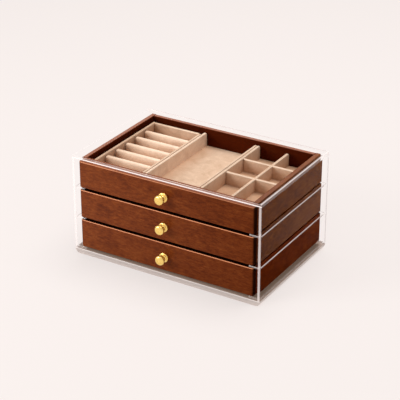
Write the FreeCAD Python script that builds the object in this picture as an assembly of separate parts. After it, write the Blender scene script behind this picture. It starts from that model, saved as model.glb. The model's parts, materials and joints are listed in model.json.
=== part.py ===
"""Jewellery box: a clear acrylic case, open at the front, with three wooden drawers.

Millimetres, +Z up. The front, with the knobs, faces -Y. The origin is the centre of
the case's underside. Each piece is one node, written to parts/NAME.step.
"""
import FreeCAD, Part
import math
import os

V = FreeCAD.Vector

# ---------------------------------------------------------------- driving sizes
# Clear case, glued from cut sheets.
CASE_WIDTH = 240.0
CASE_DEPTH = 155.0
CASE_HEIGHT = 122.0
TOP_THICK = 3.5
BASE_THICK = 6.5
SIDE_THICK = 3.5
BACK_THICK = 3.0
TOP_EDGE_RADIUS = 3.0
BASE_EDGE_RADIUS = 6.0
SHEET_EASE = 0.4

# Rails glued to the case sides, one pair under each drawer.
RAIL_WIDTH = 11.0
RAIL_THICK = 2.3
RAIL_SETBACK = 1.0
RAIL_EASE = 0.5
RAIL_NAMES = ("lower", "middle", "upper")
SEAT_CLEARANCE = 0.2

# Drawers, counted from the bottom.
DRAWER_NAMES = ("bottom", "middle", "top")
LOWER_DRAWERS = DRAWER_NAMES[:2]
TOP_DRAWER_LOSS = 2.5
DRAWER_GAP = 2.9
BOTTOM_DRAWER_LIFT = 3.5
TOP_DRAWER_HEADROOM = 2.3
DRAWER_SIDE_GAP = 5.0
DRAWER_FRONT_SETBACK = 0.5
DRAWER_BACK_GAP = 0.8

# Drawer boards.
FRONT_THICK = 9.5
WALL_THICK = 6.0
BOTTOM_THICK = 4.0
BOTTOM_RECESS = 4.0
GROOVE_DEPTH = 3.0
GROOVE_PLAY = 0.2
REBATE_DEPTH = 4.0
FRONT_CORNER_RADIUS = 3.0
FRONT_EDGE_RADIUS = 1.2
RIM_EDGE_RADIUS = 1.0

# Knob, turned in one piece, and the screw that holds it.
KNOB_LENGTH = 12.5
KNOB_HEAD_RADIUS = 5.7
KNOB_HEAD_THICK = 5.2
KNOB_HEAD_BOW = 0.5
KNOB_SHOULDER = 2.6
KNOB_FACE_RADIUS = 3.4
KNOB_FACE_BOW = 0.5
KNOB_NECK_RADIUS = 3.2
KNOB_NECK_BOW = 0.9
ROSETTE_RADIUS = 5.6
ROSETTE_THICK = 3.4
ROSETTE_RIM = 0.8
ROSETTE_BOW = 0.9
KNOB_BORE_DEPTH = 7.0
SCREW_RADIUS = 2.0
SCREW_CLEARANCE = 0.15
SCREW_REACH = 6.0
SCREW_HEAD_RADIUS = 3.9
SCREW_HEAD_THICK = 2.2
SCREW_HEAD_ROUND = 0.9
SCREW_RECESS_REACH = 2.1
SCREW_RECESS_WIDTH = 1.0
SCREW_RECESS_DEPTH = 1.1
COUNTERBORE_RADIUS = 4.6
COUNTERBORE_DEPTH = 2.8

# Suede-covered inserts.
BOARD_THICK = 3.0
TRAY_BASE_THICK = 3.5
TRAY_RIM_DROP = 4.0
TRAY_DIVIDER_DROP = 1.0
LOWER_DIVIDER_DROP = 4.0
INSERT_GAP = 0.4
COVER_EDGE_RADIUS = 1.1
END_CORNER_RADIUS = 3.5
CENTRE_TRAY_SHARE = 0.339
COMPARTMENT_TRAY_SHARE = 0.337
RING_TRAY_SIDE_GAP = 3.6
RING_TRAY_BACK_GAP = 6.3
LAP_PLAY = 0.1
DIVIDER_END_GAP = 0.2
REAR_CELL_DEPTH = 37.2
MIDDLE_CELL_DEPTH = 35.5
LEFT_CELL_SHARE = 0.562

# Ring rolls.
ROLL_COUNT = 5
ROLL_WIDTH = 6.8
ROLL_DROP = 1.5
ROLL_CROWN_RADIUS = 2.6
ROLL_LEFT_GAP = 1.5
ROLL_RIGHT_GAP = 0.3
ROLL_REAR_SPACE = 17.0
ROLL_FRONT_SPACE = 18.7

# ---------------------------------------------------------------- derived planes
CASE_FRONT = -CASE_DEPTH / 2
CASE_REAR = CASE_DEPTH / 2
SIDE_INNER = CASE_WIDTH / 2 - SIDE_THICK
BACK_INNER = CASE_REAR - BACK_THICK
SIDES_TOP = CASE_HEIGHT - TOP_THICK
LOWEST_DRAWER = BASE_THICK + BOTTOM_DRAWER_LIFT

DRAWER_HALF_WIDTH = SIDE_INNER - DRAWER_SIDE_GAP
DRAWER_FRONT = CASE_FRONT + DRAWER_FRONT_SETBACK
DRAWER_REAR = BACK_INNER - DRAWER_BACK_GAP
BAY_HALF_WIDTH = DRAWER_HALF_WIDTH - WALL_THICK
BAY_FRONT = DRAWER_FRONT + FRONT_THICK
BAY_REAR = DRAWER_REAR - WALL_THICK
PANEL_TOP = BOTTOM_RECESS + BOTTOM_THICK
FLOOR_RISE = PANEL_TOP + TRAY_BASE_THICK


def drawer_spans():
    """Underside and height of each drawer, bottom first; they share the case's inner height."""
    gaps = DRAWER_GAP * (len(DRAWER_NAMES) - 1)
    shared = SIDES_TOP - TOP_DRAWER_HEADROOM - LOWEST_DRAWER - gaps + TOP_DRAWER_LOSS
    full_height = shared / len(DRAWER_NAMES)
    spans = []
    for index in range(len(DRAWER_NAMES)):
        spans.append([LOWEST_DRAWER + index * (full_height + DRAWER_GAP), full_height])
    spans[-1][1] -= TOP_DRAWER_LOSS
    return spans


# ---------------------------------------------------------------- shape helpers
SAME_PLACE = 1e-4


def save(name, shape):
    shape.exportStep("parts/%s.step" % name)


def box(x_range, y_range, z_range):
    size = [high - low for low, high in (x_range, y_range, z_range)]
    return Part.makeBox(*size, V(x_range[0], y_range[0], z_range[0]))


def rounded_outline(corners):
    """Closed wire through (point, radius) corners; a radius of 0 leaves it sharp."""
    count = len(corners)
    edges = []
    starts = []
    ends = []
    arcs = []
    for index, (corner, radius) in enumerate(corners):
        before = corners[index - 1][0] - corner
        after = corners[(index + 1) % count][0] - corner
        before.normalize()
        after.normalize()
        if radius <= 0:
            starts.append(corner)
            ends.append(corner)
            arcs.append(None)
            continue
        half = before.getAngle(after) / 2
        reach = radius / math.tan(half)
        bisector = before + after
        bisector.normalize()
        middle = corner + bisector * (radius / math.sin(half) - radius)
        starts.append(corner + before * reach)
        ends.append(corner + after * reach)
        arcs.append(middle)
    for index in range(count):
        if arcs[index] is not None:
            edges.append(Part.Arc(starts[index], arcs[index], ends[index]).toShape())
        following = (index + 1) % count
        if ends[index].distanceToPoint(starts[following]) > SAME_PLACE:
            edges.append(Part.makeLine(ends[index], starts[following]))
    return Part.Wire(edges)


def plate_xz(x_range, z_range, radii, y_range):
    """Plate with a rounded X-Z section, drawn out along Y.

    radii are for the corners low-left, low-right, top-right and top-left.
    """
    (x0, x1), (z0, z1), (y0, y1) = x_range, z_range, y_range
    points = (V(x0, y0, z0), V(x1, y0, z0), V(x1, y0, z1), V(x0, y0, z1))
    face = Part.Face(rounded_outline(list(zip(points, radii))))
    return face.extrude(V(0, y1 - y0, 0))


def plate_yz(y_range, z_range, radii, x_range):
    """Plate with a rounded Y-Z outline, drawn out along X.

    radii are for the corners low-front, low-rear, top-rear and top-front.
    """
    (y0, y1), (z0, z1), (x0, x1) = y_range, z_range, x_range
    points = (V(x0, y0, z0), V(x0, y1, z0), V(x0, y1, z1), V(x0, y0, z1))
    face = Part.Face(rounded_outline(list(zip(points, radii))))
    return face.extrude(V(x1 - x0, 0, 0))


def plate_xy(x_range, y_range, radii, z_range):
    """Plate with a rounded X-Y outline, drawn out along Z.

    radii are for the corners front-left, front-right, rear-right and rear-left.
    """
    (x0, x1), (y0, y1), (z0, z1) = x_range, y_range, z_range
    points = (V(x0, y0, z0), V(x1, y0, z0), V(x1, y1, z0), V(x0, y1, z0))
    face = Part.Face(rounded_outline(list(zip(points, radii))))
    return face.extrude(V(0, 0, z1 - z0))


def near(value, target):
    return abs(value - target) < SAME_PLACE


def ease_edges(shape, radius, test):
    """Round the edges whose middle point passes the test."""
    chosen = []
    for edge in shape.Edges:
        first, last = edge.ParameterRange
        if test(edge.valueAt((first + last) / 2)):
            chosen.append(edge)
    return shape.makeFillet(radius, chosen)


# ---------------------------------------------------------------- clear case
def make_case():
    """The base and top sheets lap the sides, and the back sits between all four."""
    half = CASE_WIDTH / 2
    depth = (CASE_FRONT, CASE_REAR)
    sides_height = (BASE_THICK, SIDES_TOP)

    def at_an_end(point):
        return near(point.y, CASE_FRONT) or near(point.y, CASE_REAR)

    top_radii = (0, 0, TOP_EDGE_RADIUS, TOP_EDGE_RADIUS)
    top = plate_xz((-half, half), (SIDES_TOP, CASE_HEIGHT), top_radii, depth)
    save("case_top", ease_edges(top, SHEET_EASE, at_an_end))
    base_radii = (BASE_EDGE_RADIUS, BASE_EDGE_RADIUS, 0, 0)
    base = plate_xz((-half, half), (0, BASE_THICK), base_radii, depth)
    save("case_base", ease_edges(base, SHEET_EASE, at_an_end))
    eased = (SHEET_EASE,) * 4
    save("case_left_side", plate_xy((-half, -SIDE_INNER), depth, eased, sides_height))
    save("case_right_side", plate_xy((SIDE_INNER, half), depth, eased, sides_height))
    back_depth = (BACK_INNER, CASE_REAR)
    save("case_back", box((-SIDE_INNER, SIDE_INNER), back_depth, sides_height))


def make_rails(spans):
    """A pair of rails, glued to the sides, carries the side walls of each drawer."""
    depth = (CASE_FRONT + RAIL_SETBACK, BACK_INNER)
    rail_inner = SIDE_INNER - RAIL_WIDTH
    for name, (drawer_level, _) in zip(RAIL_NAMES, spans):
        top = drawer_level - SEAT_CLEARANCE
        height = (top - RAIL_THICK, top)
        left_radii = (0, RAIL_EASE, RAIL_EASE, 0)
        left = plate_xz((-SIDE_INNER, -rail_inner), height, left_radii, depth)
        save("case_%s_left_rail" % name, left)
        right_radii = (RAIL_EASE, 0, 0, RAIL_EASE)
        right = plate_xz((rail_inner, SIDE_INNER), height, right_radii, depth)
        save("case_%s_right_rail" % name, right)


# ---------------------------------------------------------------- wooden drawers
def drawer_groove(level):
    """Groove round the inside of the four walls that holds the bottom panel."""
    bottom = level + BOTTOM_RECESS
    return box((-BAY_HALF_WIDTH - GROOVE_DEPTH, BAY_HALF_WIDTH + GROOVE_DEPTH),
               (BAY_FRONT - GROOVE_DEPTH, BAY_REAR + GROOVE_DEPTH),
               (bottom, bottom + BOTTOM_THICK + GROOVE_PLAY))


def drawer_front(level, height):
    """Full-width front: rounded corners, eased edges, rebated ends and a screw hole."""
    corner = FRONT_CORNER_RADIUS
    front = plate_xy((-DRAWER_HALF_WIDTH, DRAWER_HALF_WIDTH), (DRAWER_FRONT, BAY_FRONT),
                     (corner, corner, 0, 0), (level, level + height))

    def on_show_edge(point):
        ends = near(point.z, level) or near(point.z, level + height)
        return ends and not near(point.y, BAY_FRONT)

    def on_inner_rim(point):
        return near(point.z, level + height) and near(point.y, BAY_FRONT)

    front = ease_edges(front, FRONT_EDGE_RADIUS, on_show_edge)
    front = ease_edges(front, RIM_EDGE_RADIUS, on_inner_rim)
    rebate_depth = (BAY_FRONT - REBATE_DEPTH, BAY_FRONT)
    for side in (-1, 1):
        across = sorted((side * BAY_HALF_WIDTH, side * DRAWER_HALF_WIDTH))
        front = front.cut(box(across, rebate_depth, (level, level + height)))
    centre = level + height / 2
    hole = Part.makeCylinder(SCREW_RADIUS + SCREW_CLEARANCE, FRONT_THICK,
                             V(0, DRAWER_FRONT, centre), V(0, 1, 0))
    counterbore = Part.makeCylinder(COUNTERBORE_RADIUS, COUNTERBORE_DEPTH,
                                    V(0, BAY_FRONT, centre), V(0, -1, 0))
    return front.cut([hole, counterbore, drawer_groove(level)])


def drawer_side(side, level, height):
    """Side wall, from the front's rebate to the rear face, with an eased rim."""
    across = sorted((side * BAY_HALF_WIDTH, side * DRAWER_HALF_WIDTH))
    rim = RIM_EDGE_RADIUS
    outer_foot = (rim, 0) if side < 0 else (0, rim)
    wall = plate_xz(across, (level, level + height), outer_foot + (rim, rim),
                    (BAY_FRONT - REBATE_DEPTH, DRAWER_REAR))
    return wall.cut(drawer_groove(level))


def drawer_back(level, height):
    """Back wall, set between the sides."""
    rim = RIM_EDGE_RADIUS
    wall = plate_yz((BAY_REAR, DRAWER_REAR), (level, level + height), (0, rim, rim, rim),
                    (-BAY_HALF_WIDTH, BAY_HALF_WIDTH))
    return wall.cut(drawer_groove(level))


def drawer_bottom(level):
    """Bottom panel, which lies on the lower face of the groove."""
    tongue = GROOVE_DEPTH - GROOVE_PLAY
    bottom = level + BOTTOM_RECESS
    return box((-BAY_HALF_WIDTH - tongue, BAY_HALF_WIDTH + tongue),
               (BAY_FRONT - tongue, BAY_REAR + tongue), (bottom, bottom + BOTTOM_THICK))


def bowed_arc(start, end, bow):
    """Level arc from start to end, bowed to the left of the way it runs."""
    chord = end - start
    across = V(-chord.y, chord.x, 0)
    across.normalize()
    return Part.Arc(start, (start + end) * 0.5 + across * bow, end).toShape()


def knob(centre):
    """Spool knob turned about Y: rosette, waisted neck and a domed head."""
    neck_end_radius = KNOB_NECK_RADIUS + KNOB_NECK_BOW

    def spot(radius, reach):
        return V(radius, DRAWER_FRONT - reach, centre)

    rear_centre = spot(0, 0)
    foot = spot(ROSETTE_RADIUS, 0)
    rosette_rim = spot(ROSETTE_RADIUS, ROSETTE_RIM)
    neck_foot = spot(neck_end_radius, ROSETTE_THICK)
    neck_head = spot(neck_end_radius, KNOB_LENGTH - KNOB_HEAD_THICK)
    widest = spot(KNOB_HEAD_RADIUS, KNOB_LENGTH - KNOB_SHOULDER)
    face_edge = spot(KNOB_FACE_RADIUS, KNOB_LENGTH - KNOB_FACE_BOW)
    face_centre = spot(0, KNOB_LENGTH)
    profile = Part.Wire([
        Part.makeLine(rear_centre, foot),
        Part.makeLine(foot, rosette_rim),
        bowed_arc(rosette_rim, neck_foot, ROSETTE_BOW),
        bowed_arc(neck_foot, neck_head, -KNOB_NECK_BOW),
        bowed_arc(neck_head, widest, KNOB_HEAD_BOW),
        bowed_arc(widest, face_edge, KNOB_HEAD_BOW),
        Part.makeLine(face_edge, face_centre),
        Part.makeLine(face_centre, rear_centre),
    ])
    body = Part.Face(profile).revolve(rear_centre, V(0, 1, 0), 360)
    bore = Part.makeCylinder(SCREW_RADIUS + SCREW_CLEARANCE, KNOB_BORE_DEPTH,
                             rear_centre, V(0, -1, 0))
    return body.cut(bore)


def knob_screw(centre):
    """Round-head screw from inside the drawer, its head in the counterbore."""
    seat = BAY_FRONT - COUNTERBORE_DEPTH
    tip = DRAWER_FRONT - SCREW_REACH
    crown = seat + SCREW_HEAD_THICK
    shank = Part.makeCylinder(SCREW_RADIUS, seat - tip, V(0, tip, centre), V(0, 1, 0))
    head = Part.makeCylinder(SCREW_HEAD_RADIUS, SCREW_HEAD_THICK, V(0, seat, centre), V(0, 1, 0))
    head = ease_edges(head, SCREW_HEAD_ROUND, lambda point: near(point.y, crown))
    across = (-SCREW_RECESS_REACH, SCREW_RECESS_REACH)
    narrow = (-SCREW_RECESS_WIDTH / 2, SCREW_RECESS_WIDTH / 2)
    depth = (crown - SCREW_RECESS_DEPTH, crown)
    recess = [box(across, depth, [centre + reach for reach in narrow]),
              box(narrow, depth, [centre + reach for reach in across])]
    return shank.fuse(head).removeSplitter().cut(recess)


def make_drawer(name, level, height):
    """One drawer's boards, knob and screw."""
    centre = level + height / 2
    save("%s_drawer_front" % name, drawer_front(level, height))
    save("%s_drawer_left_side" % name, drawer_side(-1, level, height))
    save("%s_drawer_right_side" % name, drawer_side(1, level, height))
    save("%s_drawer_back" % name, drawer_back(level, height))
    save("%s_drawer_bottom" % name, drawer_bottom(level))
    save("%s_drawer_knob" % name, knob(centre))
    save("%s_drawer_knob_screw" % name, knob_screw(centre))


# ---------------------------------------------------------------- suede inserts
def covered_board(x_range, y_range, z_range):
    """Flat board wrapped in suede, with soft top edges."""
    board = box(x_range, y_range, z_range)
    return ease_edges(board, COVER_EDGE_RADIUS, lambda point: near(point.z, z_range[1]))


def board_along_y(middle, y_range, z_range, end_radii=(0, 0)):
    """Upright wrapped board along Y; end_radii round its top corners, front then rear."""
    faces = (middle - BOARD_THICK / 2, middle + BOARD_THICK / 2)
    front_radius, rear_radius = end_radii
    board = plate_yz(y_range, z_range, (0, 0, rear_radius, front_radius), faces)

    def on_outline(point):
        on_face = near(point.x, faces[0]) or near(point.x, faces[1])
        return on_face and not near(point.z, z_range[0])

    return ease_edges(board, COVER_EDGE_RADIUS, on_outline)


def board_along_x(middle, x_range, z_range):
    """Upright wrapped board along X."""
    faces = (middle - BOARD_THICK / 2, middle + BOARD_THICK / 2)
    board = box(x_range, faces, z_range)

    def on_outline(point):
        on_face = near(point.y, faces[0]) or near(point.y, faces[1])
        return on_face and not near(point.z, z_range[0])

    return ease_edges(board, COVER_EDGE_RADIUS, on_outline)


def half_laps(crossings, z_range):
    """Slots for half-lap joints at the (x, y) crossings, over one height range."""
    half = BOARD_THICK / 2 + LAP_PLAY
    return [box((x - half, x + half), (y - half, y + half), z_range) for x, y in crossings]


def make_dividers(names, columns, rows, span_x, span_y, z_range, end_radii=(0, 0)):
    """Egg-crate dividers: boards along Y at columns, boards along X at rows.

    The boards along Y are slotted from the top, those along X from below.
    """
    foot, top = z_range
    lap = (foot + top) / 2
    crossings = [(x, y) for x in columns for y in rows]
    column_names, row_names = names
    for name, x in zip(column_names, columns):
        board = board_along_y(x, span_y, z_range, end_radii)
        save(name, board.cut(half_laps(crossings, (lap, top + BOARD_THICK))))
    for name, y in zip(row_names, rows):
        board = board_along_x(y, span_x, z_range)
        save(name, board.cut(half_laps(crossings, (foot - BOARD_THICK, lap + LAP_PLAY))))


def make_ring_tray(x_range, y_range, height):
    """Tray with four walls, and the padded ring rolls that stand across it."""
    left, right = x_range
    front, rear = y_range
    floor, wall_top = height
    half = BOARD_THICK / 2
    save("ring_tray_base", covered_board(x_range, y_range, (floor - TRAY_BASE_THICK, floor)))
    save("ring_tray_left_wall", board_along_y(left + half, y_range, height))
    save("ring_tray_right_wall", board_along_y(right - half, y_range, height,
                                               (END_CORNER_RADIUS, END_CORNER_RADIUS)))
    inside = (left + BOARD_THICK, right - BOARD_THICK)
    save("ring_tray_front_wall", board_along_x(front + half, inside, height))
    save("ring_tray_rear_wall", board_along_x(rear - half, inside, height))
    roll_x = (inside[0] + ROLL_LEFT_GAP, inside[1] - ROLL_RIGHT_GAP)
    roll_z = (floor, wall_top - ROLL_DROP)
    crown = (0, 0, ROLL_CROWN_RADIUS, ROLL_CROWN_RADIUS)
    first_rear = rear - BOARD_THICK - ROLL_REAR_SPACE
    last_rear = front + BOARD_THICK + ROLL_FRONT_SPACE + ROLL_WIDTH
    pitch = (first_rear - last_rear) / (ROLL_COUNT - 1)
    for index in range(ROLL_COUNT):
        roll_rear = first_rear - index * pitch
        roll_y = (roll_rear - ROLL_WIDTH, roll_rear)
        save("ring_roll_%d" % (index + 1), plate_yz(roll_y, roll_z, crown, roll_x))


def make_open_tray(name, x_range, y_range, height):
    """Tray with a base and two side walls, open at the front and rear."""
    floor = height[0]
    half = BOARD_THICK / 2
    ends = (END_CORNER_RADIUS, END_CORNER_RADIUS)
    save(name + "_base", covered_board(x_range, y_range, (floor - TRAY_BASE_THICK, floor)))
    save(name + "_left_wall", board_along_y(x_range[0] + half, y_range, height, ends))
    save(name + "_right_wall", board_along_y(x_range[1] - half, y_range, height, ends))


def make_top_inserts(level, drawer_height):
    """Ring tray on the left, open tray in the middle, compartment tray on the right."""
    height = (level + FLOOR_RISE, level + drawer_height - TRAY_RIM_DROP)
    tray_y = (BAY_FRONT + INSERT_GAP, BAY_REAR - INSERT_GAP)
    ring_left = -BAY_HALF_WIDTH + RING_TRAY_SIDE_GAP
    compartment_right = BAY_HALF_WIDTH - INSERT_GAP
    shared_width = compartment_right - ring_left - 2 * INSERT_GAP
    compartment_left = compartment_right - COMPARTMENT_TRAY_SHARE * shared_width
    centre_right = compartment_left - INSERT_GAP
    centre_left = centre_right - CENTRE_TRAY_SHARE * shared_width
    ring_x = (ring_left, centre_left - INSERT_GAP)
    make_ring_tray(ring_x, (tray_y[0], BAY_REAR - RING_TRAY_BACK_GAP), height)
    make_open_tray("centre_tray", (centre_left, centre_right), tray_y, height)
    make_open_tray("compartment_tray", (compartment_left, compartment_right), tray_y, height)

    half = BOARD_THICK / 2
    inner_left = compartment_left + BOARD_THICK
    inner_right = compartment_right - BOARD_THICK
    cells_width = inner_right - inner_left - BOARD_THICK
    column = inner_left + LEFT_CELL_SHARE * cells_width + half
    rear_row = tray_y[1] - REAR_CELL_DEPTH - half
    front_row = rear_row - BOARD_THICK - MIDDLE_CELL_DEPTH
    span_x = (inner_left + DIVIDER_END_GAP, inner_right - DIVIDER_END_GAP)
    names = (["compartment_long_divider"],
             ["compartment_rear_divider", "compartment_front_divider"])
    make_dividers(names, [column], [rear_row, front_row], span_x, tray_y,
                  (height[0], height[1] - TRAY_DIVIDER_DROP),
                  (END_CORNER_RADIUS, END_CORNER_RADIUS))


def make_lower_inserts(spans):
    """Lined floors: one divider in the bottom drawer, six compartments in the middle one."""
    span_x = (-BAY_HALF_WIDTH + INSERT_GAP, BAY_HALF_WIDTH - INSERT_GAP)
    span_y = (BAY_FRONT + INSERT_GAP, BAY_REAR - INSERT_GAP)
    divider_heights = []
    for name, (level, drawer_height) in zip(LOWER_DRAWERS, spans):
        floor = level + FLOOR_RISE
        board_height = (floor - TRAY_BASE_THICK, floor)
        save("%s_drawer_lining" % name, covered_board(span_x, span_y, board_height))
        divider_heights.append((floor, level + drawer_height - LOWER_DIVIDER_DROP))
    bottom_height, middle_height = divider_heights
    save("bottom_drawer_divider", board_along_y(0, span_y, bottom_height))
    names = (["middle_drawer_left_divider", "middle_drawer_right_divider"],
             ["middle_drawer_cross_divider"])
    cells_across = len(names[0]) + 1
    cell_pitch = (span_x[1] - span_x[0] + BOARD_THICK) / cells_across
    columns = [-cell_pitch / 2, cell_pitch / 2]
    make_dividers(names, columns, [0], span_x, span_y, middle_height)


# ---------------------------------------------------------------- the whole box
def main():
    os.makedirs("parts", exist_ok=True)
    spans = drawer_spans()
    make_case()
    make_rails(spans)
    for name, (level, height) in zip(DRAWER_NAMES, spans):
        make_drawer(name, level, height)
    make_lower_inserts(spans)
    make_top_inserts(*spans[-1])


main()
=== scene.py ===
import json
import math
from functools import reduce
from typing import NamedTuple

import bpy
from mathutils import Matrix, Vector, noise


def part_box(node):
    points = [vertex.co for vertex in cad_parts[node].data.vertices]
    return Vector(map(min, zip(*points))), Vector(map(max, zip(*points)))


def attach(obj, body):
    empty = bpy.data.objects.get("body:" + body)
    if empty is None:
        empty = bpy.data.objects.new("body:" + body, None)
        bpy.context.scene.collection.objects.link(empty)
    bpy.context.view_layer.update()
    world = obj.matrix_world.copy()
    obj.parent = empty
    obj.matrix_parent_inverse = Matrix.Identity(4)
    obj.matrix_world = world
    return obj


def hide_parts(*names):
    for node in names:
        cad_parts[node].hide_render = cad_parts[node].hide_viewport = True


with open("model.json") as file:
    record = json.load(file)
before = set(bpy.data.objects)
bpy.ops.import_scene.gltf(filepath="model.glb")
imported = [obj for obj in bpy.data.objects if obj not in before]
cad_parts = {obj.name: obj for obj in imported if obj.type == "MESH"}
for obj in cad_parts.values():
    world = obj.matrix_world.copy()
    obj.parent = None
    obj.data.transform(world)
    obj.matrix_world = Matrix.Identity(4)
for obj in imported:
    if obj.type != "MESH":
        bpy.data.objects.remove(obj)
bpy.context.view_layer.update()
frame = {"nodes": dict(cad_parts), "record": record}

# ---------------------------------------------------------------- the frame's pieces
NODES = frame["nodes"]
RECORD = frame["record"]
BODY_OF = {node: body for body, nodes in RECORD["behaviour"]["bodies"].items() for node in nodes}
SLOT_OF = {part["node"]: part["material_slot"] for part in RECORD["subparts"]}
MM = 0.001


def new_object(name, data):
    """New object with its data, linked to the scene."""
    item = bpy.data.objects.new(name, data)
    bpy.context.scene.collection.objects.link(item)
    return item


# ---------------------------------------------------------------- camera
CAMERA_AZIMUTH = math.radians(31.07)
CAMERA_ELEVATION = math.radians(26.50)
CAMERA_PLACE = Vector((0.7431, -1.2349, 0.7825))
FOCAL_PIXELS = 1430.4
PICTURE_PIXELS = 400
SENSOR_WIDTH = 36.0
NEAREST_SEEN = 0.05


def make_camera():
    data = bpy.data.cameras.new("camera")
    data.sensor_width = SENSOR_WIDTH
    data.lens = SENSOR_WIDTH * FOCAL_PIXELS / PICTURE_PIXELS
    data.clip_start = NEAREST_SEEN
    level = math.cos(CAMERA_ELEVATION)
    back = Vector((math.sin(CAMERA_AZIMUTH) * level, -math.cos(CAMERA_AZIMUTH) * level,
                   math.sin(CAMERA_ELEVATION)))
    right = Vector((math.cos(CAMERA_AZIMUTH), math.sin(CAMERA_AZIMUTH), 0))
    turn = Matrix((right, back.cross(right), back)).transposed()
    camera = new_object("camera", data)
    camera.matrix_world = Matrix.Translation(CAMERA_PLACE) @ turn.to_4x4()
    bpy.context.scene.camera = camera


# ---------------------------------------------------------------- material helpers
LEFT, RIGHT, FRONT, REAR = (-1, 0, 0), (1, 0, 0), (0, -1, 0), (0, 1, 0)
BELOW, ABOVE = (0, 0, -1), (0, 0, 1)
ALONG = (RIGHT, REAR, ABOVE)

# How far a rounded edge looks up where it starts to count and where it counts in full, and over
# how much more it fades into the flat side above it.
EDGE_RISE = (0.08, 0.3)
FLAT_BAND = 0.15

# The Mix node's sockets for colours. Their names repeat, so they go by number.
MIX_SHARE, MIX_FIRST, MIX_SECOND, MIX_RESULT = 0, 6, 7, 2


def srgb(red, green, blue):
    """Scene-linear colour, with alpha, of an 8-bit display colour."""
    linear = []
    for value in (red, green, blue):
        share = value / 255
        linear.append(share / 12.92 if share <= 0.04045 else ((share + 0.055) / 1.055) ** 2.4)
    return (*linear, 1.0)


class Tree:
    """Short calls for building the node tree of one material or world.

    Wherever a call takes a value, it takes a plain number or colour, or another node's output.
    """

    def __init__(self, owner):
        self.owner = owner
        self.owner.use_nodes = True
        self.tree = owner.node_tree
        self.tree.nodes.clear()

    def add(self, kind, inputs=None, **settings):
        """New node. inputs are values by the name or number of the node's socket."""
        node = self.tree.nodes.new("ShaderNode" + kind)
        for key, value in settings.items():
            setattr(node, key, value)
        for key, value in (inputs or {}).items():
            if isinstance(value, bpy.types.NodeSocket):
                self.tree.links.new(value, node.inputs[key])
            else:
                node.inputs[key].default_value = value
        return node

    def output(self, surface, kind="OutputMaterial"):
        """Ends the tree with its surface, and gives back the material or world."""
        self.add(kind, {"Surface": surface})
        return self.owner

    # places and directions, in the object's own axes
    def coordinates(self, scale, offset=(0, 0, 0)):
        """Place in metres, times a scale for each axis."""
        place = self.add("TexCoord").outputs["Object"]
        return self.add("Mapping", {"Vector": place, "Scale": scale, "Location": offset}).outputs["Vector"]

    def position(self):
        """X, Y and Z in metres."""
        place = self.add("TexCoord").outputs["Object"]
        return tuple(self.add("SeparateXYZ", {"Vector": place}).outputs)

    def facing(self, direction):
        """How far the surface looks along a direction: 1 when squarely, negative when away."""
        normal = self.add("TexCoord").outputs["Normal"]
        return self.add("VectorMath", {0: normal, 1: direction}, operation="DOT_PRODUCT").outputs["Value"]

    def looking(self, sides, turn, share):
        """share where the surface looks along one of the sides.

        turn holds how far it has to look that way for the share to start, and to be full.
        """
        nearest = reduce(self.larger, map(self.facing, sides))
        return self.span(nearest, *turn, 0.0, share)

    def upper_edges(self, flat_rise):
        """1 on the rounded edges that look up and outwards, 0 where they look up by flat_rise or more."""
        rise = self.facing(ABOVE)
        edge = self.span(rise, *EDGE_RISE, 0.0, 1.0)
        return self.times(edge, self.span(rise, flat_rise - FLAT_BAND, flat_rise, 1.0, 0.0))

    def seen(self):
        """1 where the camera, a mirror or clear sheet looks at the surface, 0 where it lights others."""
        rays = self.add("LightPath").outputs
        direct = self.larger(rays["Is Camera Ray"], rays["Is Transmission Ray"])
        return self.larger(direct, rays["Is Glossy Ray"])

    # values
    def math(self, operation, *values):
        return self.add("Math", dict(enumerate(values)), operation=operation).outputs["Value"]

    def times(self, first, second):
        return self.math("MULTIPLY", first, second)

    def minus(self, first, second):
        return self.math("SUBTRACT", first, second)

    def larger(self, first, second):
        return self.math("MAXIMUM", first, second)

    def smaller(self, first, second):
        return self.math("MINIMUM", first, second)

    def magnitude(self, value):
        return self.math("ABSOLUTE", value)

    def span(self, value, low, high, to_low, to_high):
        """value mapped from low-high to to_low-to_high, clamped. A constant named SPAN holds all four."""
        inputs = {"Value": value, "From Min": low, "From Max": high, "To Min": to_low, "To Max": to_high}
        return self.add("MapRange", inputs).outputs["Result"]

    def noise(self, vector, detail, roughness=0.5, distortion=0.0):
        inputs = {"Vector": vector, "Scale": 1.0, "Detail": detail, "Roughness": roughness,
                  "Distortion": distortion}
        return self.add("TexNoise", inputs).outputs["Fac"]

    # colours, normals and shaders
    def ramp(self, value, stops):
        """Colour ramp through (position, colour) stops."""
        node = self.add("ValToRGB", {"Fac": value})
        elements = node.color_ramp.elements
        while len(elements) < len(stops):
            elements.new(0.5)
        for element, (position, colour) in zip(elements, stops):
            element.position = position
            element.color = colour
        return node.outputs["Color"]

    def mix(self, share, first, second, blend="MIX"):
        inputs = {MIX_SHARE: share, MIX_FIRST: first, MIX_SECOND: second}
        return self.add("Mix", inputs, data_type="RGBA", blend_type=blend).outputs[MIX_RESULT]

    def bump(self, height, depth, strength):
        """Bump of depth metres."""
        inputs = {"Height": height, "Distance": depth, "Strength": strength}
        return self.add("Bump", inputs).outputs["Normal"]

    def shader(self, kind, **inputs):
        """Shader of one kind; keys are socket names with _ for spaces."""
        named = {key.replace("_", " "): value for key, value in inputs.items()}
        return self.add("Bsdf" + kind, named).outputs["BSDF"]

    def mix_shaders(self, share, first, second):
        return self.add("MixShader", {"Fac": share, 1: first, 2: second}).outputs["Shader"]


def new_material(name):
    return Tree(bpy.data.materials.new(name))


def dress(piece, material):
    """Gives the piece one material in place of those that it has."""
    piece.data.materials.clear()
    piece.data.materials.append(material)


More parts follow.
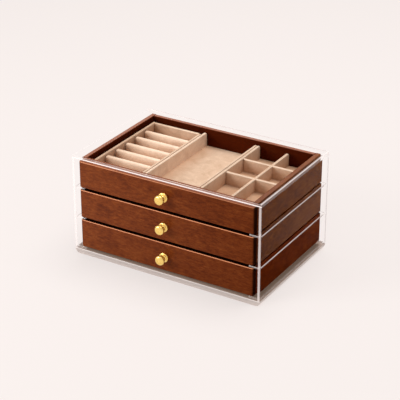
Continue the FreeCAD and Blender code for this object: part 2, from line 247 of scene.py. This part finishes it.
# ---------------------------------------------------------------- walnut
WOOD_DARK = srgb(82, 33, 12)
WOOD_MIDDLE = srgb(110, 49, 18)
WOOD_LIGHT = srgb(130, 66, 28)
WOOD_TONES = ((0.34, WOOD_DARK), (0.5, WOOD_MIDDLE), (0.68, WOOD_LIGHT))
WOOD_PORE = srgb(56, 20, 8)
# Painted highlight, with some wear, on the fronts' upper arrises.
WOOD_EDGE_HIGHLIGHT = srgb(255, 172, 124)
# Painted reflection on the top drawer's rim.
WOOD_RIM_REFLECTION = srgb(168, 104, 74)
# Painted shade on sides that look into the drawer or down, and in the gaps between drawers.
WOOD_SHADE = srgb(62, 17, 5)
# Darkest painted shade, on a front's ends and under side and on a covered rim.
WOOD_END_SHADE = srgb(22, 6, 3)

# Noise scales along and across the grain, for places in metres.
MOTTLE_SCALES = (40, 70)
FIGURE_SCALES = (150, 520)
FIBRE_SCALES = (160, 1000)
PORE_SCALES = (300, 1700)
MOTTLE_SHARE = 0.4

# From a noise value, or the painted shade's share, to a share or a roughness.
FIBRE_SPAN = (0.4, 0.65, 0.0, 0.4)
PORE_SPAN = (0.58, 0.7, 0.0, 0.5)
BARE_ROUGHNESS_SPAN = (0.4, 0.6, 0.55, 0.42)
VARNISHED_SPAN = (0.0, 0.5, 1.0, 0.0)

# How far a side has to look along its direction for its painted shade or painted reflection to start, and
# to be full.
PAINTED_SHADE_TURN = (0.05, 0.45)
END_TURN = (0.3, 0.8)
RIM_TURN = (0.6, 0.95)
COVERED_TURN = (0.9, 0.98)
# Shares of painted shade, of the rim's painted reflection and of its extra coat.
PAINTED_SHADE_SHARE = 0.85
JOINT_SHADE_SHARE = 0.9
END_SHARE = 0.95
COVERED_SHARE = 0.95
RIM_REFLECTION_SHARE = 0.6
RIM_VARNISH = 0.9
WOOD_FLAT_RISE = 0.8

# How far behind a drawer's front its side boards get painted shade.
JOINT_SHADE_LENGTH = 3 * MM
PORE_DEPTH = 0.05 * MM
PORE_STRENGTH = 0.3
VARNISH_ROUGHNESS = 0.25


class Finish(NamedTuple):
    """How a board is finished.

    shaded_sides holds the sides that look into a dark place, which get painted shade, and ends
    those that get the darkest painted shade, at a board's ends and under it. light_falloff
    multiplies the wood's colour as painted light and shade that fall off along the board, varnish
    is the strength of the coat, and wear is how pale the arrises are, partly wear and
    partly a painted highlight: each is a pair, for the low and the high end of the grain. rim is
    how much painted reflection, and how much more coat, the upper side gets in the top drawer.
    """

    shaded_sides: tuple
    ends: tuple = ()
    light_falloff: tuple = ()
    varnish: tuple = (0.1, 0.1)
    wear: tuple = ()
    rim: float = 1.0


# Each board's painted shade, painted light falloff, coat and painted edge highlight.
BOARDS = {
    "front": Finish(shaded_sides=(REAR,), ends=(LEFT, RIGHT, BELOW), wear=(0.85, 0.85), rim=0.5,
                    light_falloff=((1.3, 1.4, 1.34, 1), (0.88, 0.88, 0.88, 1)), varnish=(0.24, 0.05)),
    "back": Finish(shaded_sides=(FRONT, BELOW), light_falloff=((1.1, 1.1, 1.1, 1), (1, 1, 1, 1))),
    "left_side": Finish(shaded_sides=(RIGHT, BELOW)),
    "right_side": Finish(shaded_sides=(LEFT, BELOW), rim=0.5, varnish=(0.13, 0.27),
                         light_falloff=((0.68, 0.84, 0.5, 1), (0.96, 1.24, 0.76, 1))),
    "bottom": Finish(shaded_sides=(BELOW,)),
}
# The top front's painted highlight falls off along it, and the bottom drawer's right side gets darker
# painted shade.
OWN_FINISHES = {
    "top_drawer_front": BOARDS["front"]._replace(wear=(0.62, 0.38)),
    "bottom_drawer_right_side": Finish(shaded_sides=(LEFT, BELOW), varnish=(0.0, 0.06),
                                       light_falloff=((0.6, 0.46, 0.36, 1), (0.86, 0.74, 0.56, 1))),
}


def wood_grain(tree, axis, offset):
    """Tone, fibres and pores of wood whose grain runs along an axis."""

    def streaks(scales, **settings):
        along, across = scales
        scale = [across] * 3
        scale[axis] = along
        return tree.noise(tree.coordinates(scale, offset), **settings)

    mottle = streaks(MOTTLE_SCALES, detail=3, roughness=0.6, distortion=0.8)
    figure = streaks(FIGURE_SCALES, detail=4, roughness=0.7, distortion=0.4)
    fibres = streaks(FIBRE_SCALES, detail=3, roughness=0.6)
    pores = streaks(PORE_SCALES, detail=2)
    tone = tree.math("ADD", tree.times(mottle, MOTTLE_SHARE), tree.times(figure, 1 - MOTTLE_SHARE))
    return tone, fibres, tree.span(pores, *PORE_SPAN)


def walnut(name, offset):
    """Varnished walnut for the drawer board called name, with its own stretch of grain.

    Sides that look into the drawer, and under sides, get painted shade. A front's upper arrises get
    a painted highlight with some wear, and painted light falls off along some boards. The top
    drawer's rim gets a painted reflection and a stronger coat. A rim under another drawer gets
    painted shade, as dark as the gap it lies in. Side boards get painted shade for a short stretch
    behind the drawer's front.
    """
    drawer, board = name.split("_drawer_")
    finish = OWN_FINISHES.get(name, BOARDS[board])
    is_side = board.endswith("side")
    axis = 1 if is_side else 0
    low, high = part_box(name)
    tree = new_material("walnut_" + name)
    place = tree.position()[axis]

    def drift(pair):
        """Value that goes evenly from one end of the board to the other."""
        return tree.span(place, low[axis], high[axis], *pair)

    tone, fibres, pores = wood_grain(tree, axis, offset)
    colour = tree.ramp(tone, WOOD_TONES)
    colour = tree.mix(tree.span(fibres, *FIBRE_SPAN), colour, WOOD_DARK)
    colour = tree.mix(pores, colour, WOOD_PORE)
    gloss = drift(finish.varnish)
    # Painted light and shade that fall off along the board multiply its colour.
    if finish.light_falloff:
        colour = tree.mix(1.0, colour, tree.mix(drift((0.0, 1.0)), *finish.light_falloff), "MULTIPLY")
    # Painted highlight, with some wear, on the upper arrises, fading along the board.
    if finish.wear:
        worn_edge_highlight = tree.times(tree.upper_edges(WOOD_FLAT_RISE), drift(finish.wear))
        colour = tree.mix(worn_edge_highlight, colour, WOOD_EDGE_HIGHLIGHT)

    # Painted shade on the sides that look into the drawer or down.
    painted_shade = tree.looking(finish.shaded_sides, PAINTED_SHADE_TURN, PAINTED_SHADE_SHARE)
    # Side boards also get painted shade for a short stretch behind the drawer's front.
    if is_side:
        joint_shade = tree.span(place, low.y, low.y + JOINT_SHADE_LENGTH, JOINT_SHADE_SHARE, 0.0)
        painted_shade = tree.larger(painted_shade, joint_shade)
    # The top drawer's rim gets a painted reflection and a stronger coat; a rim under another drawer gets
    # painted shade, as dark as its gap.
    if drawer == "top":
        covered = 0.0
        rim = tree.looking((ABOVE,), RIM_TURN, finish.rim)
        colour = tree.mix(tree.times(rim, RIM_REFLECTION_SHARE), colour, WOOD_RIM_REFLECTION)
        gloss = tree.larger(gloss, tree.times(rim, RIM_VARNISH))
    else:
        covered = tree.looking((ABOVE,), COVERED_TURN, COVERED_SHARE)
        painted_shade = tree.larger(painted_shade, covered)
    # The painted shade darkens the colour and thins the coat.
    colour = tree.mix(painted_shade, colour, WOOD_SHADE)
    gloss = tree.times(gloss, tree.span(painted_shade, *VARNISHED_SPAN))
    # Darkest painted shade on the ends, the under side and a covered rim, with no coat there.
    if finish.ends:
        ends = tree.larger(tree.looking(finish.ends, END_TURN, END_SHARE), covered)
        colour = tree.mix(ends, colour, WOOD_END_SHADE)
        gloss = tree.times(gloss, tree.minus(1.0, ends))

    return tree.output(tree.shader(
        "Principled", Base_Color=colour, Roughness=tree.span(tone, *BARE_ROUGHNESS_SPAN),
        Normal=tree.bump(tree.minus(fibres, pores), PORE_DEPTH, PORE_STRENGTH),
        Specular_IOR_Level=0.0, Coat_Weight=gloss, Coat_Roughness=VARNISH_ROUGHNESS))


# ---------------------------------------------------------------- suede
SUEDE_DARK = srgb(208, 177, 150)
SUEDE_TONES = ((0.3, SUEDE_DARK), (0.7, srgb(234, 206, 181)))
# A brighter copy of the suede's tones, as painted light, for pieces taken as better lit.
BRIGHTER_LIT_SUEDE_TONES = ((0.3, srgb(230, 198, 172)), (0.7, srgb(254, 228, 204)))
# Painted highlight on upper edges and on a round piece's top, also the sheen's tint.
SUEDE_HIGHLIGHT = srgb(250, 228, 206)
# Painted shade in the groove between two trays.
SUEDE_GROOVE_SHADE = srgb(158, 118, 90)
# Painted shade at the ring tray's left end and in its depths.
SUEDE_NOOK_SHADE = srgb(150, 96, 52)
SUEDE_SHADE = srgb(186, 136, 98)

# Noise scales for places in metres, and the shares that dark pile and nap have.
BRUSH_SCALE = 70
NAP_SCALE = 900
NAP_SPAN = (0.35, 0.65, 0.16, 0.0)
PILE_SCALE = 2600
PILE_SPAN = (0.3, 0.7, 0.25, 0.0)
PILE_DEPTH = 0.12 * MM
PILE_STRENGTH = 0.6

# Shares of the painted highlight on upper edges and on a round piece's top.
EDGE_HIGHLIGHT = 0.7
SUEDE_FLAT_RISE = 0.97
ROUND_HIGHLIGHT = 0.45
ROUND_TURN = (0.2, 0.9)
# Share and turn of the painted shade in the groove against another tray.
GROOVE_SHADE_SHARE = 0.9
GROOVE_SHADE_TURN = (0.55, 0.85)
SHADE_WIDTH = 24 * MM

# Reach and strength of the painted shade at the ring tray's left end and in its depths.
NOOK_WIDTH = 30 * MM
NOOK_DEPTH = 7 * MM
NOOK_SHARE = 0.6
NOOK_SHARE_AT_TOP = 0.5
NOOK_HIGHLIGHT_SPAN = (0.0, 0.3, 1.0, 0.2)


def suede(name, rounded=False, pale=False, groove_side=None, nook=None, shade=None):
    """Napped beige suede: brushed patches and short pile, with a painted highlight on upper edges or on
    a round piece's crest.

    pale gives a brighter copy of the suede, as painted light. groove_side is a side that touches
    another tray and gets painted shade in the groove. nook is the lowest X and the highest Z of a
    tray whose left end and depths get painted shade. shade is the axis along which a piece is
    shaded, the darkest and the lightest place on it, and the shade's strength.
    """
    tree = new_material(name)
    brushed = tree.noise(tree.coordinates([BRUSH_SCALE] * 3), detail=5, roughness=0.65, distortion=0.6)
    nap = tree.noise(tree.coordinates([NAP_SCALE] * 3), detail=3, roughness=0.7)
    pile = tree.noise(tree.coordinates([PILE_SCALE] * 3), detail=2, roughness=0.7)
    # The brighter copy stands in for more light on the piece.
    colour = tree.ramp(brushed, BRIGHTER_LIT_SUEDE_TONES if pale else SUEDE_TONES)
    colour = tree.mix(tree.span(pile, *PILE_SPAN), colour, SUEDE_DARK, "MULTIPLY")
    colour = tree.mix(tree.span(nap, *NAP_SPAN), colour, SUEDE_DARK, "MULTIPLY")
    # Painted highlight on a round piece's top, or on upper edges.
    if rounded:
        crest = tree.looking((ABOVE,), ROUND_TURN, ROUND_HIGHLIGHT)
    else:
        crest = tree.times(tree.upper_edges(SUEDE_FLAT_RISE), EDGE_HIGHLIGHT)
    # Painted shade at the ring tray's left end and in its depths; it also dims the highlight there.
    if nook is not None:
        left_end, top = nook
        x, _, z = tree.position()
        deep = tree.span(z, top, top - NOOK_DEPTH, NOOK_SHARE_AT_TOP, 1.0)
        nook_shade = tree.times(tree.span(x, left_end, left_end + NOOK_WIDTH, NOOK_SHARE, 0.0), deep)
        colour = tree.mix(nook_shade, colour, SUEDE_NOOK_SHADE)
        crest = tree.times(crest, tree.span(nook_shade, *NOOK_HIGHLIGHT_SPAN))
    if shade is not None:
        axis, darkest, lightest, strength = shade
        shaded = tree.span(tree.position()[axis], darkest, lightest, strength, 0.0)
        colour = tree.mix(shaded, colour, SUEDE_SHADE)
    colour = tree.mix(crest, colour, SUEDE_HIGHLIGHT)
    # Painted shade in the groove against another tray.
    if groove_side is not None:
        colour = tree.mix(tree.looking((groove_side,), GROOVE_SHADE_TURN, GROOVE_SHADE_SHARE), colour, SUEDE_GROOVE_SHADE)
    return tree.output(tree.shader(
        "Principled", Base_Color=colour, Roughness=0.95, Normal=tree.bump(pile, PILE_DEPTH, PILE_STRENGTH),
        Specular_IOR_Level=0.1, Sheen_Weight=0.25, Sheen_Roughness=0.4, Sheen_Tint=SUEDE_HIGHLIGHT))


# ---------------------------------------------------------------- metals
BRASS_TONES = ((0.35, srgb(248, 204, 106)), (0.65, srgb(254, 226, 142)))
BRASS_ROUGHNESS_SPAN = (0.3, 0.7, 0.2, 0.32)
BRASS_SCALE = 900
BRASS_DEPTH = 0.02 * MM
BRASS_STRENGTH = 0.3
STEEL_TONES = ((0.3, srgb(150, 150, 148)), (0.7, srgb(196, 196, 192)))
STEEL_ROUGHNESS_SPAN = (0.3, 0.7, 0.3, 0.45)
STEEL_SCALE = 1200


def brass():
    tree = new_material("brass")
    wear = tree.noise(tree.coordinates([BRASS_SCALE] * 3), detail=3)
    return tree.output(tree.shader(
        "Principled", Base_Color=tree.ramp(wear, BRASS_TONES), Metallic=1.0,
        Roughness=tree.span(wear, *BRASS_ROUGHNESS_SPAN),
        Normal=tree.bump(wear, BRASS_DEPTH, BRASS_STRENGTH)))


def steel():
    tree = new_material("screw_steel")
    wear = tree.noise(tree.coordinates([STEEL_SCALE] * 3), detail=3)
    return tree.output(tree.shader(
        "Principled", Base_Color=tree.ramp(wear, STEEL_TONES), Metallic=1.0,
        Roughness=tree.span(wear, *STEEL_ROUGHNESS_SPAN)))


# ---------------------------------------------------------------- clear sheet
ACRYLIC_IOR = 1.49
CLEAR = srgb(255, 255, 255)
HAZE_SCALE = 60
SHINE_ROUGHNESS_SPAN = (0.3, 0.7, 0.02, 0.06)

# Fresnel's share of reflected light becomes gloss. Above TRAPPED the light can't leave the sheet.
SHEET_GLOSS_SPAN = (0.18, 0.7, 0.0, 0.5)
BASE_GLOSS = 0.8
TRAPPED = 0.99

LARGE_FACE_TURN = (0.9, 0.99)
FRONTAL_TURN = (0.3, 0.8)
SAWN_TURN = (0.2, 0.6)
EDGE_TINT = srgb(246, 236, 234)
EDGE_ROUGHNESS = 0.3

# The base's tints, and how far in from an edge the painted shadow is full, starts to fade and is gone.
BASE_CLEAR = srgb(248, 238, 232)
# Painted shadow of the drawers on the base; it also dims light that passes there.
BASE_SHADOW = srgb(180, 168, 158)
BASE_EDGE = srgb(226, 217, 213)
BASE_FRONT_BAND = 6 * MM
BASE_SIDE_BAND = 8 * MM
BASE_BAND_END = 12 * MM
BASE_CENTRE = 50 * MM


class Edge(NamedTuple):
    """Sawn edge of a sheet: partly clear, partly milky with a faint painted glow, and with a painted
    highlight line that runs along it.

    lines holds two lines, one for edges that look to the front and one for the others. Each is
    its place, as a share of the sheet's thickness, and its strength. A line is at full strength
    within half of its middle and gone at fade. clear is the tint of the clear part, and glow is
    the strength of the milky part's painted glow.
    """

    lines: tuple = ()
    half: float = 0.4 * MM
    fade: float = 1.0 * MM
    tint: tuple = EDGE_TINT
    glow: float = 0.16
    clearness: float = 0.84
    clear: tuple = CLEAR


EDGES = {
    "case_base": Edge(((0.94, 1.0), (0.94, 0.15)), tint=BASE_EDGE, glow=0.05, clearness=0.4,
                      clear=BASE_EDGE),
    "case_top": Edge(((0.2, 1.0), (0.95, 0.6))),
    "case_lower_left_rail": Edge(),
    "case_lower_right_rail": Edge(),
}
RAIL_EDGE = Edge(((0.75, 0.275), (0.75, 0.55)))
UPRIGHT_EDGE = Edge(((0.5, 0.45), (0.5, 0.45)), half=0.7 * MM, fade=1.7 * MM)


def base_tint(tree, low, high):
    """Clear at the base's edges and centre, with a painted shadow along the drawers' outline that also
    dims the light passing there.
    """
    x, y, _ = tree.position()
    from_side = tree.minus(high.x, tree.magnitude(x))
    from_side = tree.times(from_side, BASE_FRONT_BAND / BASE_SIDE_BAND)
    from_edge = tree.smaller(from_side, tree.minus(y, low.y))
    from_edge = tree.smaller(from_edge, tree.minus(high.y, y))
    deep = tree.times(tree.span(from_edge, 0.0, BASE_FRONT_BAND, 0.0, 1.0),
                      tree.span(from_edge, BASE_BAND_END, BASE_CENTRE, 1.0, 0.0))
    return tree.mix(deep, BASE_CLEAR, BASE_SHADOW)


def painted_highlight_lines(tree, edge, low, high, thin):
    """Strength of the painted highlight line along a sheet's sawn edge, and 0 beside it."""
    frontal = tree.looking((FRONT,), FRONTAL_TURN, 1.0)
    strengths = 0.0
    for (place, strength), share in zip(edge.lines, (frontal, tree.minus(1.0, frontal))):
        middle = low[thin] + (high[thin] - low[thin]) * place
        off_middle = tree.magnitude(tree.minus(tree.position()[thin], middle))
        line = tree.span(off_middle, edge.half, edge.fade, strength, 0.0)
        strengths = tree.math("ADD", strengths, tree.times(line, share))
    return strengths


def sawn_edges(tree, name, low, high, thin):
    """Partly milky edges with a faint painted glow and painted highlight lines. Those of an upright sheet
    that are glued to another are clear.
    """
    edge = EDGES.get(name, RAIL_EDGE if name.endswith("_rail") else UPRIGHT_EDGE)
    # The milky part glows a little, as painted light.
    milky = tree.shader("Principled", Base_Color=edge.tint, Roughness=EDGE_ROUGHNESS,
                        Emission_Color=edge.tint, Emission_Strength=edge.glow)
    clear = tree.shader("Transparent", Color=edge.clear)
    surface = tree.mix_shaders(edge.clearness, milky, clear)
    # Painted highlight lines along the edge.
    if edge.lines:
        surface = tree.mix_shaders(painted_highlight_lines(tree, edge, low, high, thin), surface, milky)
    if edge is UPRIGHT_EDGE:
        surface = tree.mix_shaders(tree.looking((FRONT, REAR), SAWN_TURN, 1.0), clear, surface)
    return surface


def acrylic(name):
    """Clear acrylic for one sheet or rail. Its thinnest way is the one its large faces look.

    Light inside that would be reflected for ever passes straight on. Diffuse, reflected and
    shadow rays pass straight through, so what's inside is lit as through thin air.
    """
    low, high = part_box(name)
    is_base = name == "case_base"
    thin = min(range(3), key=lambda axis: high[axis] - low[axis])
    tree = new_material("clear_" + name)

    # The base's tint carries a painted shadow along the drawers' outline.
    tint = base_tint(tree, low, high) if is_base else CLEAR
    haze = tree.noise(tree.coordinates([HAZE_SCALE] * 3), detail=4)
    bend = tree.shader("Refraction", Color=tint, IOR=ACRYLIC_IOR, Roughness=0.0)
    shine = tree.shader("Glossy", Roughness=tree.span(haze, *SHINE_ROUGHNESS_SPAN))
    passing = tree.shader("Transparent", Color=tint)
    fresnel = tree.add("Fresnel", {"IOR": ACRYLIC_IOR}).outputs["Fac"]
    gloss = tree.times(fresnel, BASE_GLOSS) if is_base else tree.span(fresnel, *SHEET_GLOSS_SPAN)
    faces = tree.mix_shaders(gloss, bend, shine)
    faces = tree.mix_shaders(tree.math("GREATER_THAN", fresnel, TRAPPED), faces, passing)

    turned = tree.span(tree.magnitude(tree.facing(ALONG[thin])), *LARGE_FACE_TURN, 1.0, 0.0)
    surface = tree.mix_shaders(turned, faces, sawn_edges(tree, name, low, high, thin))

    rays = tree.add("LightPath").outputs
    indirect = tree.larger(rays["Is Shadow Ray"], rays["Is Diffuse Ray"])
    reflected = tree.minus(rays["Is Glossy Ray"], rays["Is Transmission Ray"])
    return tree.output(tree.mix_shaders(tree.larger(indirect, reflected), surface, passing))


# ---------------------------------------------------------------- finishes on the frame's nodes
# Tray walls whose side against the next tray gets painted shade in the groove.
GROOVE_SHADE_SIDES = {
    "ring_tray_right_wall": RIGHT,
    "centre_tray_left_wall": LEFT,
    "centre_tray_right_wall": RIGHT,
    "compartment_tray_left_wall": LEFT,
}
GRAIN_STEP = (1.7, 2.3, 0.9)
CENTRE_SHADE = 0.55
COMPARTMENT_SHADE = 0.5


def ring_nook():
    """Lowest X and highest Z of the ring tray."""
    low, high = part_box("ring_tray_left_wall")
    return low.x, high.z


def shade_of(name):
    """Axis, darkest place, lightest place and strength of the shade on a tray's piece."""
    low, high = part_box(name)
    if name == "centre_tray_base":
        return 0, low.x, low.x + SHADE_WIDTH, CENTRE_SHADE
    if name.startswith("compartment_"):
        return 2, low.z, high.z, COMPARTMENT_SHADE
    return None


def finish_nodes():
    """Boards, sheets and some tray walls get a material each; the other nodes share one per slot."""
    shared = {"suede": suede("suede"), "brass": brass(), "screw_steel": steel()}
    compartment = suede("compartment_suede", shade=shade_of("compartment_tray_right_wall"))
    for index, (name, node) in enumerate(sorted(NODES.items())):
        slot = SLOT_OF[name]
        if slot == "walnut":
            material = walnut(name, [step * index for step in GRAIN_STEP])
        elif slot == "clear_acrylic":
            material = acrylic(name)
        # The centre tray's left wall gets the brighter copy of the suede as painted light.
        elif name in GROOVE_SHADE_SIDES or name.startswith("ring_tray") or name == "centre_tray_base":
            material = suede("suede_" + name, pale=name == "centre_tray_left_wall", groove_side=GROOVE_SHADE_SIDES.get(name),
                             nook=ring_nook() if name.startswith("ring_tray") else None,
                             shade=shade_of(name))
        elif name.startswith("compartment_"):
            material = compartment
        else:
            material = shared[slot]
        dress(node, material)


# ---------------------------------------------------------------- padded ring rolls
ROLL_VOXEL = 0.9 * MM
ROLL_SHRINK = 0.2 * MM
ROLL_SWELL = 0.6 * MM
WRINKLE_SCALES = Vector((260, 700, 700))
WRINKLE_DEPTH = 0.22 * MM
WRINKLE_LEAST = 0.15
WRINKLED_END = 6 * MM
CLOTH_FRAMES = 20
CLOTH_PRESSURE = 4
CLOTH_QUALITY = 4


def freeze(piece):
    """Applies the piece's modifiers to its mesh."""
    graph = bpy.context.evaluated_depsgraph_get()
    graph.update()
    mesh = bpy.data.meshes.new_from_object(piece.evaluated_get(graph))
    piece.modifiers.clear()
    piece.data = mesh


def inflate(piece):
    """Blows the piece up as cloth."""
    cloth = piece.modifiers.new("cloth", "CLOTH")
    cloth.settings.use_pressure = True
    cloth.settings.uniform_pressure_force = CLOTH_PRESSURE
    cloth.settings.effector_weights.gravity = 0
    cloth.settings.quality = CLOTH_QUALITY
    cloth.point_cache.frame_start = 1
    cloth.point_cache.frame_end = CLOTH_FRAMES
    scene = bpy.context.scene
    for number in range(1, CLOTH_FRAMES + 1):
        scene.frame_set(number)
    freeze(piece)
    scene.frame_set(1)


def shrunk_copy(name):
    """The node's form as a new piece, a little smaller on every side and remeshed."""
    low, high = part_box(name)
    centre = (low + high) / 2
    size = high - low
    piece = new_object("padded_" + name, NODES[name].data.copy())
    for vertex in piece.data.vertices:
        for axis in range(3):
            squeeze = 1 - 2 * ROLL_SHRINK / size[axis]
            vertex.co[axis] = centre[axis] + (vertex.co[axis] - centre[axis]) * squeeze
    remesh = piece.modifiers.new("remesh", "REMESH")
    remesh.mode = "VOXEL"
    remesh.voxel_size = ROLL_VOXEL
    freeze(piece)
    return piece


def padded_roll(name):
    """Padded roll: the node's form blown up a little as cloth, with wrinkles, most at its ends."""
    roll = shrunk_copy(name)
    low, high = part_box(name)
    rest = [vertex.co.copy() for vertex in roll.data.vertices]
    inflate(roll)
    for vertex, start in zip(roll.data.vertices, rest):
        shift = vertex.co - start
        if shift.length > ROLL_SWELL:
            vertex.co = start + shift.normalized() * ROLL_SWELL
        from_end = min(start.x - low.x, high.x - start.x) / WRINKLED_END
        wrinkle = noise.noise(start * WRINKLE_SCALES) * WRINKLE_DEPTH
        vertex.co.y += wrinkle * max(WRINKLE_LEAST, 1 - from_end)
        vertex.co.x = min(max(vertex.co.x, low.x), high.x)
        vertex.co.z = max(vertex.co.z, low.z)
    smooth = roll.modifiers.new("smooth", "SUBSURF")
    smooth.levels = 1
    smooth.render_levels = 1
    roll.data.polygons.foreach_set("use_smooth", [True] * len(roll.data.polygons))
    return roll


def make_rolls():
    # The rolls get the brighter copy of the suede as painted light, and the ring tray's painted shade.
    padding = suede("padded_suede", rounded=True, pale=True, nook=ring_nook())
    for name in sorted(NODES):
        if not name.startswith("ring_roll_"):
            continue
        roll = padded_roll(name)
        dress(roll, padding)
        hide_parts(name)
        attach(roll, BODY_OF[name])


# ---------------------------------------------------------------- floor, light, view
FLOOR_COLOUR = srgb(245, 237, 234)
FLOOR_SIZE = 12.0
FLOOR_DROP = 0.05 * MM
FLOOR_GLOW = 0.76
SKY_COLOUR = srgb(233, 225, 222)
WORLD_COLOUR = (1.0, 0.98, 0.96, 1.0)
WORLD_STRENGTH = 0.42


def make_floor():
    """Pale floor. Part of its brightness is its own wherever the camera sees it, so it looks even."""
    half = FLOOR_SIZE / 2
    corners = [(-half, -half, 0), (half, -half, 0), (half, half, 0), (-half, half, 0)]
    mesh = bpy.data.meshes.new("floor")
    mesh.from_pydata(corners, [], [(0, 1, 2, 3)])
    floor = new_object("floor", mesh)
    tree = new_material("floor")
    matt = tree.shader("Principled", Base_Color=FLOOR_COLOUR, Roughness=0.7, Specular_IOR_Level=0.1)
    glow = tree.add("Emission", {"Color": FLOOR_COLOUR}).outputs["Emission"]
    share = tree.times(tree.seen(), FLOOR_GLOW)
    dress(floor, tree.output(tree.mix_shaders(share, matt, glow)))
    floor.location.z = -FLOOR_DROP


def area_light(name, place, target, size, power, colour):
    data = bpy.data.lights.new(name, "AREA")
    data.shape = "RECTANGLE"
    data.size, data.size_y = size
    data.energy = power
    data.color = colour
    light = new_object(name, data)
    light.location = place
    light.rotation_euler = (Vector(target) - Vector(place)).to_track_quat("-Z", "Y").to_euler()


def make_world():
    """Soft light from all round, and a sky as pale as the far floor wherever it is seen."""
    tree = Tree(bpy.data.worlds.new("studio"))
    light = tree.add("Background", {"Color": WORLD_COLOUR, "Strength": WORLD_STRENGTH})
    sky = tree.add("Background", {"Color": SKY_COLOUR})
    surface = tree.mix_shaders(tree.seen(), light.outputs["Background"], sky.outputs["Background"])
    return tree.output(surface, "OutputWorld")


def make_studio():
    bpy.context.scene.world = make_world()
    area_light("overhead", place=(0.15, 0.45, 1.7), target=(0, 0, 0.05), size=(1.2, 1.0), power=22,
               colour=(1.0, 0.99, 0.98))
    area_light("front_fill", place=(-1.05, -1.26, 0.77), target=(0, 0, 0.06), size=(0.8, 0.8), power=17,
               colour=(1.0, 1.0, 1.0))
    bpy.context.scene.view_settings.view_transform = "Standard"


finish_nodes()
make_camera()
make_studio()
make_floor()
make_rolls()
